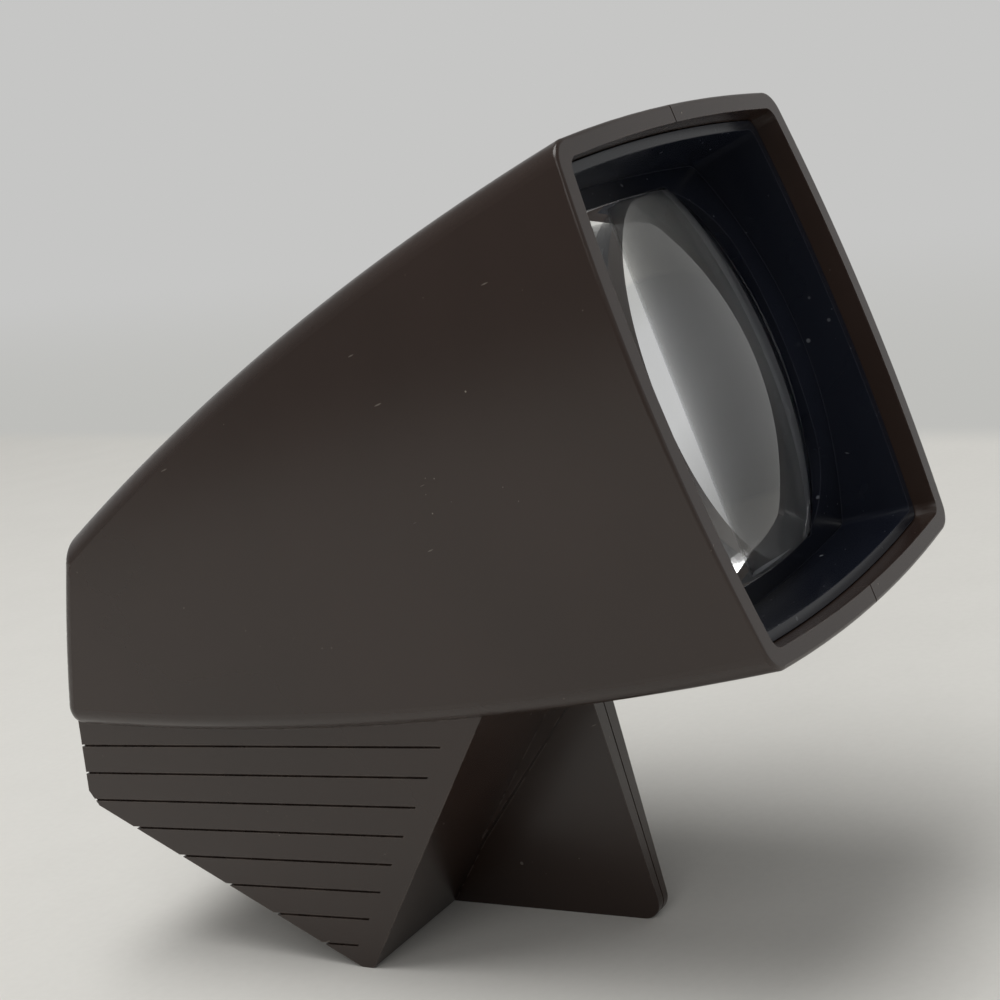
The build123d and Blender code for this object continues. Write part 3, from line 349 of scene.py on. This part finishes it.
def scratches(finish, turn, scale, width, seed, keep):
    """Hair scratches: the dots of a cell pattern drawn out in one direction and bent a little."""
    stretched = finish.scaled((scale, scale * HAIR_STRETCH, scale), turn)
    shifted = finish.node("ShaderNodeMapping", {}, {
        0: stretched, 1: (seed, -seed, seed * 0.3)}).outputs[0]
    bent = finish.node("ShaderNodeTexNoise", {}, {
        "Vector": finish.place, "Scale": HAIR_BEND_SCALE}).outputs["Color"]
    moved = finish.node("ShaderNodeVectorMath", {"operation": "MULTIPLY_ADD"}, {
        0: bent, 1: (HAIR_BEND,) * 3, 2: shifted}).outputs[0]
    voronoi = finish.node("ShaderNodeTexVoronoi", {}, {"Vector": moved, "Scale": 1.0})
    near = 1 - Value(finish, voronoi.outputs["Distance"]).step(width * 0.4, width)
    chance = Value(finish, finish.node(
        "ShaderNodeSeparateColor", {}, {0: voronoi.outputs["Color"]}).outputs[1])
    return near * chance.step(1 - keep, 1 - keep + KEEP_SOFTNESS)


def sharp_edge_mask(finish, radius):
    """1 on edges sharper than the radius in millimetres, 0 on flat faces."""
    rounded = finish.node("ShaderNodeBevel", {"samples": 4}, {"Radius": radius * MM}).outputs[0]
    true_normal = finish.node("ShaderNodeNewGeometry").outputs["Normal"]
    alike = Value(finish, finish.node("ShaderNodeVectorMath", {"operation": "DOT_PRODUCT"}, {
        0: rounded, 1: true_normal}).outputs["Value"])
    return (1 - alike).step(0.01, 0.12)


# The lighter brown on the edges is partly rubbed plastic and partly a painted highlight.
RUBBED_AND_SHEEN_BROWN = srgb(104, 92, 84)
LINT = srgb(168, 160, 148)


def moulded_brown(name, dark, light, roughness):
    """Semi-gloss styrene with dust, hair scratches and edges painted lighter, partly as rubbing and partly
    as a painted highlight.
    """
    finish = Finish(name)
    cloud = finish.noise(28.0, 3.0)
    grain = finish.noise(1500.0, 2.0)
    lint = specks(finish, scale=140.0, size=0.045, seed=3.1, keep=0.22)
    lint = lint + specks(finish, scale=420.0, size=0.06, seed=7.7, keep=0.08)
    hair = scratches(finish, turn=(0.4, 0.3, 0.2), scale=900.0, width=0.10, seed=2.0, keep=0.05)
    hair = hair + scratches(finish, turn=(1.2, 0.1, -0.9), scale=1100.0, width=0.09, seed=5.0, keep=0.04)
    # Sharp edges, in patches, turn lighter brown: partly rubbing, partly a painted highlight.
    edge_rub_and_sheen = sharp_edge_mask(finish, 0.35) * finish.noise(300.0, 3.0).step(0.35, 0.7)
    tone = finish.mix(cloud.step(0.3, 0.7), dark, light)
    tone = finish.mix(edge_rub_and_sheen * 0.35, tone, RUBBED_AND_SHEEN_BROWN)
    tone = finish.mix(lint * 0.55 + hair * 0.30, tone, LINT)
    gloss = grain * 0.05 + cloud * 0.05 + roughness - 0.05 + edge_rub_and_sheen * 0.08 + (lint + hair) * 0.2
    swell = finish.bump(finish.noise(9.0, 1.0) + cloud * 0.12, strength=0.25, distance=0.9)
    skin = finish.node("ShaderNodeBump", {}, {
        "Height": grain - hair * 1.5, "Strength": 0.10, "Distance": 0.02 * MM,
        "Normal": swell}).outputs[0]
    finish.set(Base_Color=tone, Roughness=gloss, Normal=skin, Specular_IOR_Level=0.5)
    return finish


case_finish = moulded_brown("moulded_brown", srgb(44, 33, 28), srgb(49, 37, 32), roughness=0.25)
for part in ("left_shell", "right_shell", "battery_door"):
    nodes[part].data.materials[0] = case_finish.material
print("case parts share", case_finish.material.name)

# %% [markdown]
# The liner that carries the lens is glossier and nearly black with a cold blue cast. Dust shows on it more
# than on the case: white dots, lint and short scuffs gather on its flat walls and at the lens seat. The
# slide gate behind it is plain satin black of the same family.


# %% Blue-black liner
# The lighter blue-grey on the edges is partly rubbed plastic and partly a painted highlight.
RUBBED_AND_SHEEN_BLACK = srgb(62, 66, 78)
WHITE_DUST = srgb(170, 174, 180)
CLOUD_GAIN = 1.5


def black_plastic(name, colour, roughness, dust):
    """Black moulded plastic with white dust, short scuffs, and edges painted lighter, partly as rubbing and
    partly as a painted highlight.
    """
    finish = Finish(name)
    cloud = finish.noise(60.0, 3.0)
    grain = finish.noise(2200.0, 2.0)
    dots = specks(finish, scale=330.0, size=0.12, seed=1.7, keep=0.18 * dust)
    dots = dots + specks(finish, scale=900.0, size=0.14, seed=9.1, keep=0.08 * dust)
    scuff = scratches(finish, turn=(0.2, 0.9, 0.5), scale=1000.0, width=0.12, seed=4.0, keep=0.13 * dust)
    patch = finish.noise(110.0, 2.0).step(0.5, 0.72)
    marks = (dots + scuff) * (patch * 0.8 + 0.2)
    # Sharp edges turn lighter and duller: partly rubbing, partly a painted highlight.
    edge_rub_and_sheen = sharp_edge_mask(finish, 0.25)
    lighter = tuple(channel * CLOUD_GAIN for channel in colour[:3]) + (1.0,)
    tone = finish.mix(cloud, colour, lighter)
    tone = finish.mix(edge_rub_and_sheen * 0.15, tone, RUBBED_AND_SHEEN_BLACK)
    tone = finish.mix(marks * 0.8, tone, WHITE_DUST)
    skin = finish.bump(grain + cloud * 2.0, strength=0.08, distance=0.03)
    dullness = cloud * 0.08 + roughness + marks * 0.3 + edge_rub_and_sheen * 0.45
    finish.set(Base_Color=tone, Roughness=dullness, Normal=skin, Specular_IOR_Level=0.4)
    return finish


liner_finish = black_plastic("blue_black_liner", srgb(18, 21, 30), roughness=0.2, dust=1.0)
satin_black = black_plastic("satin_black", srgb(22, 22, 24), roughness=0.38, dust=0.4)
nodes["lens_holder"].data.materials[0] = liner_finish.material
nodes["slide_gate"].data.materials[0] = satin_black.material
print("liner", liner_finish.material.name)

# %% [markdown]
# The lens is one thick piece of clear acrylic, cut square with rounded corners: a strong dome in front, a
# weak one behind. Refraction bends every facet's error into a visible kink, so the CAD triangles are
# replaced by an even grid. The grid's corners are pushed round, the faces are extruded into a block, and
# each side of the block is then lifted onto its own sphere. The edge gets a fine bevel that catches light.

# %% Lens
LENS_WIDTH, LENS_HEIGHT, LENS_CORNER = 48.0, 49.5, 5.0
LENS_FRONT, LENS_BACK = 61.0, 41.5
FRONT_RADIUS, BACK_RADIUS = 62.0, 130.0
LENS_STEPS = 64
SHARP_ANGLE = math.radians(35)
EDGE_BEVEL = 0.25


def rounded_square(place, width, height, corner):
    """Moves a point of a rectangle's corner square into the corner's quarter circle."""
    centre_x, centre_y = width / 2 - corner, height / 2 - corner
    out_x, out_y = abs(place.x) - centre_x, abs(place.y) - centre_y
    if out_x <= 0 or out_y <= 0:
        return
    pull = max(out_x, out_y) / math.hypot(out_x, out_y)
    place.x = math.copysign(centre_x + out_x * pull, place.x)
    place.y = math.copysign(centre_y + out_y * pull, place.y)


lens_mesh = bmesh.new()
bmesh.ops.create_grid(lens_mesh, x_segments=LENS_STEPS, y_segments=LENS_STEPS, size=0.5)
bmesh.ops.scale(lens_mesh, vec=(LENS_WIDTH, LENS_HEIGHT, 1), verts=lens_mesh.verts)
for vert in lens_mesh.verts:
    rounded_square(vert.co, LENS_WIDTH, LENS_HEIGHT, LENS_CORNER)
raised = bmesh.ops.extrude_face_region(lens_mesh, geom=lens_mesh.faces[:])
front_verts = {part for part in raised["geom"] if isinstance(part, bmesh.types.BMVert)}
for vert in lens_mesh.verts:
    reach = vert.co.x ** 2 + vert.co.y ** 2
    if vert in front_verts:
        vert.co.z = LENS_FRONT - FRONT_RADIUS + math.sqrt(FRONT_RADIUS ** 2 - reach)
    else:
        vert.co.z = LENS_BACK + BACK_RADIUS - math.sqrt(BACK_RADIUS ** 2 - reach)
bmesh.ops.recalc_face_normals(lens_mesh, faces=lens_mesh.faces[:])
sharp = [edge for edge in lens_mesh.edges if edge.calc_face_angle(0) > SHARP_ANGLE]
bmesh.ops.bevel(
    lens_mesh, geom=sharp, offset=EDGE_BEVEL, segments=2, profile=0.5, affect="EDGES", material=-1)
for vert in lens_mesh.verts:
    vert.co *= MM
bmesh.ops.transform(lens_mesh, matrix=axis_matrix, verts=lens_mesh.verts)
for face in lens_mesh.faces:
    face.smooth = True


def new_piece(name, mesh, finish):
    """Turns a bmesh in the frame's own place into a shown piece."""
    data = bpy.data.meshes.new(name)
    mesh.to_mesh(data)
    mesh.free()
    data.materials.append(finish.material)
    piece = bpy.data.objects.new(name, data)
    bpy.context.scene.collection.objects.link(piece)
    return piece


CLEAR, DUSTY = (0.97, 0.98, 0.99, 1), (0.8, 0.82, 0.84, 1)
lens_finish = Finish("clear_acrylic")
lens_dust = specks(lens_finish, scale=500.0, size=0.07, seed=2.2, keep=0.03)
lens_hair = scratches(lens_finish, turn=(0.9, 0.2, 0.1), scale=700.0, width=0.05, seed=1.0, keep=0.03)
lens_finish.set(
    Base_Color=lens_finish.mix(lens_dust * 0.5, CLEAR, DUSTY),
    Roughness=lens_dust * 0.2 + lens_hair * 0.15,
    Transmission_Weight=1.0,
    IOR=1.49,
)
lens_glass = new_piece("lens_glass", lens_mesh, lens_finish)
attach(lens_glass, "body")
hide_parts("lens")
print("lens faces", len(lens_glass.data.polygons))

# %% [markdown]
# Behind the lens a pale grey tunnel leads to the slide, and the ring that retains the lens is moulded in
# the same grey, which is why the clear lens looks grey from the side. Behind the slide sits the lamp
# house: an opal sheet that spreads the light, a white funnel and a torch bulb. White mouldings are never
# one white; a slow mottle and a second, warmer shade keep them from looking like paper. The opal sheet
# lets light through, so it gets a little subsurface scattering.


# %% Lamp house
GREY_DUST = srgb(96, 92, 86)


def white_plastic(name, cool, warm, roughness, scatter):
    """Pale moulded plastic with a slow mottle of two shades and a little dust."""
    finish = Finish(name)
    mottle = finish.noise(55.0, 4.0)
    grain = finish.noise(1800.0, 2.0)
    dust = specks(finish, scale=300.0, size=0.06, seed=6.0, keep=0.06)
    tone = finish.mix(mottle.step(0.3, 0.7), cool, warm)
    tone = finish.mix(dust * 0.5, tone, GREY_DUST)
    finish.set(
        Base_Color=tone,
        Roughness=mottle * 0.1 + roughness,
        Normal=finish.bump(grain, 0.1, 0.02),
        Subsurface_Weight=scatter,
        Subsurface_Scale=0.002,
    )
    return finish


opal = white_plastic(
    "opal_sheet", srgb(226, 226, 222), srgb(216, 214, 206), roughness=0.35, scatter=0.3)
funnel_white = white_plastic(
    "funnel_white", srgb(222, 221, 216), srgb(206, 200, 186), roughness=0.42, scatter=0.0)
tunnel_grey = white_plastic(
    "tunnel_grey", srgb(154, 155, 160), srgb(142, 143, 148), roughness=0.45, scatter=0.0)
lever_white = white_plastic(
    "acetal", srgb(208, 206, 198), srgb(196, 192, 180), roughness=0.38, scatter=0.1)
for part in ("viewing_tunnel", "lens_retainer"):
    nodes[part].data.materials[0] = tunnel_grey.material
nodes["diffuser"].data.materials[0] = opal.material
nodes["reflector"].data.materials[0] = funnel_white.material
nodes["lamp_lever"].data.materials[0] = lever_white.material

bulb_finish = Finish("bulb_glass")
bulb_haze = bulb_finish.noise(240.0, 3.0)
bulb_finish.set(
    Base_Color=(0.98, 0.98, 0.97, 1),
    Roughness=bulb_haze * 0.04,
    Transmission_Weight=1.0,
    IOR=1.46,
)
nodes["bulb_glass"].data.materials[0] = bulb_finish.material

phenolic = Finish("black_phenolic")
mottle = phenolic.noise(320.0, 4.0).step(0.45, 0.75)
phenolic.set(
    Base_Color=phenolic.mix(mottle, srgb(24, 21, 19), srgb(48, 36, 28)),
    Roughness=mottle * 0.12 + 0.28,
    Normal=phenolic.bump(phenolic.noise(1500.0), 0.1, 0.02),
)
nodes["bulb_socket"].data.materials[0] = phenolic.material
print("lamp house finished")

# %% [markdown]
# Metal parts are small and hidden, but the slot and the door show them. Rolled strip
# has fine lines along its length, so the bump pattern is stretched; plating dulls in blotches, which moves
# the roughness; and rubbed edges come back bright.


# %% Metals
LINES_ALONG_Y = (5200.0, 260.0, 5200.0)


def metal(name, bright, dull, roughness, lines):
    """Plated or bare metal with drawn lines, dull blotches and bright edges."""
    finish = Finish(name)
    blotch = finish.noise(420.0, 4.0).step(0.35, 0.75)
    drawn = finish.noise(1.0, 2.0, finish.scaled(LINES_ALONG_Y, (0, 0, 0)))
    edge = sharp_edge_mask(finish, 0.12)
    tone = finish.mix(blotch, bright, dull)
    tone = finish.mix(edge * 0.5, tone, bright)
    finish.set(
        Base_Color=tone,
        Metallic=1.0,
        Roughness=blotch * 0.16 + drawn * 0.08 + roughness,
        Normal=finish.bump(drawn, lines, 0.01),
    )
    return finish


nickel = metal("nickel_wire", srgb(206, 202, 194), srgb(168, 163, 154), roughness=0.2, lines=0.2)
plated_brass = metal("plated_brass", srgb(214, 190, 142), srgb(176, 150, 104), roughness=0.26, lines=0.35)
zinc = metal("zinc_plate", srgb(200, 202, 206), srgb(158, 160, 166), roughness=0.3, lines=0.25)
for part in ("rear_cell_spring", "front_cell_spring", "lever_spring"):
    nodes[part].data.materials[0] = nickel.material
for part in ("rear_contact", "front_contact_left", "front_contact_right", "lever_contact", "bulb_cap"):
    nodes[part].data.materials[0] = plated_brass.material
for part in ("case_screws", "lever_pin"):
    nodes[part].data.materials[0] = zinc.material
print("metals", [m.material.name for m in (nickel, plated_brass, zinc)])

# %% [markdown]
# A plain cell has a printed sleeve that stops short of bare steel ends. Both cells lie along Y, so one
# expression in Y finds the ends, and a second finds the colour band at the plus end, which is at the front
# on the right cell and at the rear on the left one.


# %% Cells
TIP_LENGTH = 1.3
BAND_LENGTH = 14.0
END_LENGTH, PRINT_SOFTNESS = 0.5, 0.2
BAND_SOFTNESS = 0.1
SLEEVE_BLACK, SLEEVE_COPPER = srgb(34, 34, 38), srgb(168, 112, 70)
SCUFFED_SLEEVE, BARE_STEEL = srgb(150, 150, 150), srgb(190, 190, 192)


def cell_finish(name, low, high, plus_low, plus_high):
    """Sleeve, bare ends and a copper-coloured band at the plus end; places are Y in millimetres."""
    finish = Finish(name)
    along = finish.axis("Y") * (1 / MM)
    printed_from, printed_to = low + END_LENGTH, high - END_LENGTH
    ends = 1 - along.step(printed_from, printed_from + PRINT_SOFTNESS)
    ends = ends + along.step(printed_to - PRINT_SOFTNESS, printed_to)
    band = along.step(plus_low - BAND_SOFTNESS, plus_low + BAND_SOFTNESS)
    band = band * (1 - along.step(plus_high - BAND_SOFTNESS, plus_high + BAND_SOFTNESS))
    scuff = scratches(finish, turn=(0.3, 0.2, 0.6), scale=800.0, width=0.1, seed=3.0, keep=0.08)
    sleeve = finish.mix(band, SLEEVE_BLACK, SLEEVE_COPPER)
    sleeve = finish.mix(scuff * 0.5, sleeve, SCUFFED_SLEEVE)
    finish.set(
        Base_Color=finish.mix(ends, sleeve, BARE_STEEL),
        Metallic=ends.math("MINIMUM", 1.0),
        Roughness=scuff * 0.3 + 0.3 + finish.noise(200.0) * 0.1,
        Normal=finish.bump(finish.noise(900.0), 0.06, 0.02),
    )
    return finish


for part, plus_at_rear in (("battery_cell_right", False), ("battery_cell_left", True)):
    near_corner, far_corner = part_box(part)
    low, high = near_corner.y / MM, far_corner.y / MM
    if plus_at_rear:
        can, copper_band = (low, high - TIP_LENGTH), (high - BAND_LENGTH, high - TIP_LENGTH)
    else:
        can, copper_band = (low + TIP_LENGTH, high), (low + TIP_LENGTH, low + BAND_LENGTH)
    nodes[part].data.materials[0] = cell_finish(part + "_sleeve", *can, *copper_band).material
    print(part, round(low, 1), round(high, 1))

# %% [markdown]
# The two leads are soft vinyl over stranded wire: an even colour, a waxy gloss and faint handling marks.


# %% Leads
HANDLED_GREY = srgb(190, 186, 180)


def vinyl(name, colour, light):
    """Soft lead cover with a faint cloud of a lighter shade and a little dust."""
    finish = Finish(name)
    cloud = finish.noise(260.0, 3.0)
    dust = specks(finish, scale=700.0, size=0.12, seed=5.0, keep=0.08)
    tone = finish.mix(cloud, colour, light)
    tone = finish.mix(dust * 0.4, tone, HANDLED_GREY)
    finish.set(
        Base_Color=tone,
        Roughness=cloud * 0.15 + 0.35,
        Normal=finish.bump(finish.noise(1400.0), 0.12, 0.02),
    )
    return finish


red_vinyl = vinyl("red_vinyl", srgb(132, 26, 22), srgb(160, 40, 34))
black_vinyl = vinyl("black_vinyl", srgb(22, 22, 23), srgb(38, 38, 40))
nodes["lamp_lead_left"].data.materials[0] = red_vinyl.material
nodes["lamp_lead_right"].data.materials[0] = black_vinyl.material
print("leads finished")
